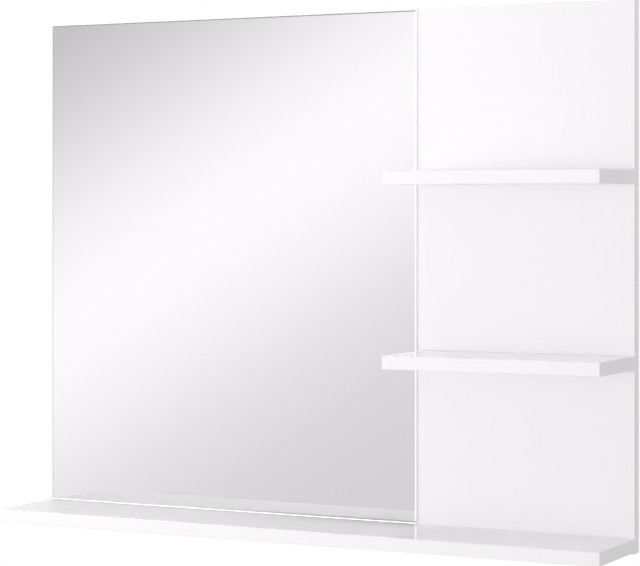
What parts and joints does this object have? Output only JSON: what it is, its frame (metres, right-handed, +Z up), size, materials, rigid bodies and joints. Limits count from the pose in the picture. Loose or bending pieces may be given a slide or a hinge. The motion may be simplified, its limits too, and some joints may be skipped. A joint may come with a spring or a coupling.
{
  "type": "wall mirror panel with shelves",
  "caption": "Flat white gloss wall panel with a frameless mirror plate, short shelves beside it and a long shelf below, hung on wall screws by keyhole plates let into its back.",
  "frame": {"origin": "halfway between the entry holes of the two keyhole hangers, in the plane of the wall", "axes": "+X along the wall to the right as seen from the front, +Y into the wall, +Z up"},
  "size_m": [0.75, 0.125, 0.6],
  "materials": {
    "white_board": "gloss",
    "white_edging": "gloss",
    "mirror": "polished",
    "foam_tape": "matte",
    "beech": "satin",
    "zinc_steel": "satin"
  },
  "bodies": {
    "root": {"back_panel": "white_board", "lower_shelf": "white_board", "middle_shelf": "white_board", "upper_shelf": "white_board", "mirror_plate": "mirror", "mirror_tape": "foam_tape", "shelf_dowels": "beech", "shelf_screws": "zinc_steel", "hanger_screws": "zinc_steel", "hanger_plate_left": "zinc_steel", "hanger_plate_right": "zinc_steel", "panel_edge_top": "white_edging", "panel_edge_bottom": "white_edging", "panel_edge_left": "white_edging", "panel_edge_right": "white_edging", "lower_shelf_edge_front": "white_edging", "lower_shelf_edge_left": "white_edging", "lower_shelf_edge_right": "white_edging", "middle_shelf_edge_front": "white_edging", "middle_shelf_edge_left": "white_edging", "middle_shelf_edge_right": "white_edging", "upper_shelf_edge_front": "white_edging", "upper_shelf_edge_left": "white_edging", "upper_shelf_edge_right": "white_edging"}
  },
  "joints": []
}
